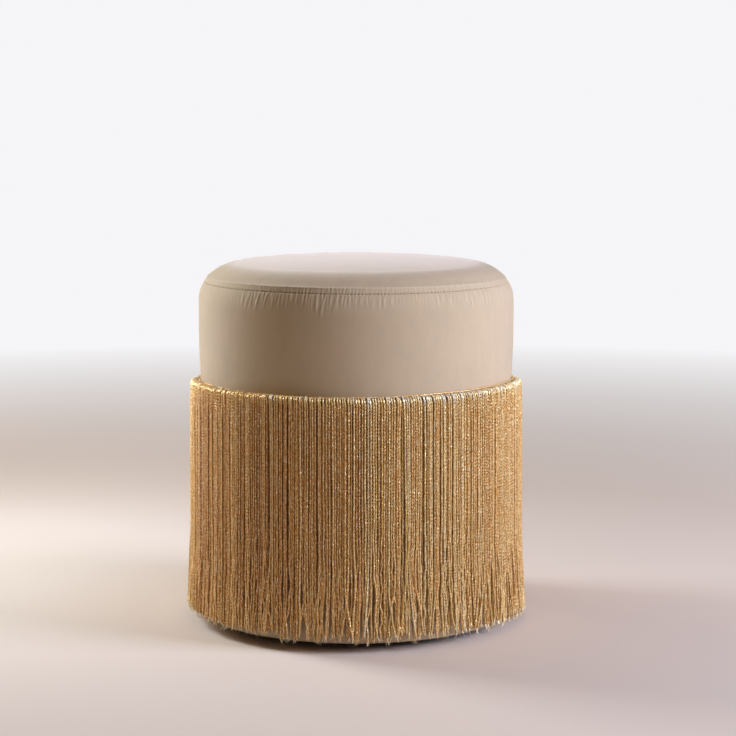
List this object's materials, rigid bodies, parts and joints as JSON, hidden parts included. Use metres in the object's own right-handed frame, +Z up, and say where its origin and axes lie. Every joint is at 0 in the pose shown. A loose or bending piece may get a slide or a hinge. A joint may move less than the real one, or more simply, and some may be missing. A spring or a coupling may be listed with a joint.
{
  "type": "tuffet",
  "caption": "Round upholstered tuffet: a padded drum in beige velvet with a rounded, seamed seat and a long skirt of gold cord fringe that hides its low glides.",
  "frame": {"origin": "on the floor, under the middle of the drum", "axes": "+Z up, along the axis of the drum; -Y towards the viewer of the picture, +X to the viewer's right"},
  "size_m": [0.3804, 0.3805, 0.404],
  "materials": {
    "velvet": "matte",
    "gold_cord": "satin",
    "foam": "matte",
    "wadding": "matte",
    "plywood": "matte",
    "hardboard": "matte",
    "pine": "matte",
    "black_cloth": "matte",
    "black_plastic": "satin",
    "zinc_steel": "satin"
  },
  "bodies": {
    "root": {"top_panel": "velvet", "side_band": "velvet", "fringe_front": "gold_cord", "fringe_right": "gold_cord", "fringe_back": "gold_cord", "fringe_left": "gold_cord", "seat_foam": "foam", "side_foam": "foam", "seat_wadding": "wadding", "seat_board": "plywood", "base_board": "plywood", "shell_wall": "hardboard", "post_1": "pine", "post_2": "pine", "post_3": "pine", "post_4": "pine", "dust_cover": "black_cloth", "glide_1": "black_plastic", "glide_2": "black_plastic", "glide_3": "black_plastic", "glide_4": "black_plastic", "base_screw_1": "zinc_steel", "base_screw_2": "zinc_steel", "base_screw_3": "zinc_steel", "base_screw_4": "zinc_steel", "seat_screw_1": "zinc_steel", "seat_screw_2": "zinc_steel", "seat_screw_3": "zinc_steel", "seat_screw_4": "zinc_steel", "glide_screw_1": "zinc_steel", "glide_screw_2": "zinc_steel", "glide_screw_3": "zinc_steel", "glide_screw_4": "zinc_steel", "staple_1": "zinc_steel", "staple_2": "zinc_steel", "staple_3": "zinc_steel", "staple_4": "zinc_steel", "staple_5": "zinc_steel", "staple_6": "zinc_steel", "staple_7": "zinc_steel", "staple_8": "zinc_steel", "staple_9": "zinc_steel", "staple_10": "zinc_steel", "staple_11": "zinc_steel", "staple_12": "zinc_steel", "staple_13": "zinc_steel", "staple_14": "zinc_steel", "staple_15": "zinc_steel", "staple_16": "zinc_steel"}
  },
  "joints": []
}
